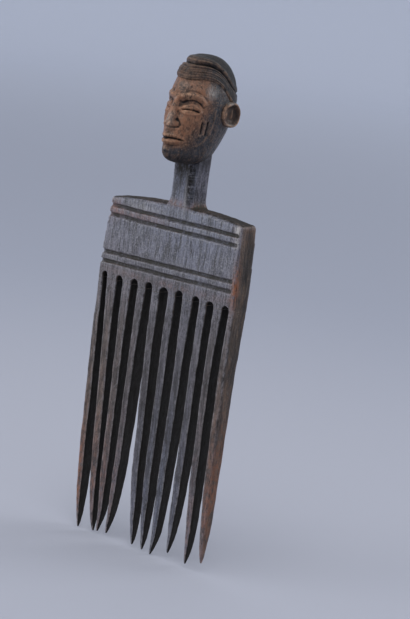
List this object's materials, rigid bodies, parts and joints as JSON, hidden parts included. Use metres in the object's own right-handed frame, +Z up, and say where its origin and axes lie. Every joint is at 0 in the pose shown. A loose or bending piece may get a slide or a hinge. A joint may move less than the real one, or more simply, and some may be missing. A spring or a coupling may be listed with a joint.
{
  "type": "carved hair comb",
  "caption": "Upright carved wooden hair comb: a long-toothed comb with a grooved plate, and a neck and head with banded hair as its handle.",
  "frame": {"origin": "centre of the plate's flat back face, on the plate's centre line", "axes": "+Z up along the comb from the teeth to the head, +Y out of the flat back, the face looks along -Y"},
  "size_m": [0.0594, 0.0308, 0.1706],
  "materials": {
    "plate_wood": "dark hardwood, hand-rubbed, with a dull sheen",
    "teeth_wood": "dark hardwood, polished by use",
    "neck_wood": "dark hardwood with knife marks",
    "head_wood": "dark hardwood worn warm brown on its high places",
    "hair_wood": "dark hardwood with carved ridges",
    "ear_wood": "dark hardwood worn on the rim"
  },
  "bodies": {
    "root": {"coiffure": "hair_wood", "ear_left": "ear_wood", "ear_right": "ear_wood", "head": "head_wood", "neck": "neck_wood", "plate": "plate_wood", "tooth_01": "teeth_wood", "tooth_02": "teeth_wood", "tooth_03": "teeth_wood", "tooth_04": "teeth_wood", "tooth_05": "teeth_wood", "tooth_06": "teeth_wood", "tooth_07": "teeth_wood", "tooth_08": "teeth_wood", "tooth_09": "teeth_wood", "tooth_10": "teeth_wood"}
  },
  "joints": []
}
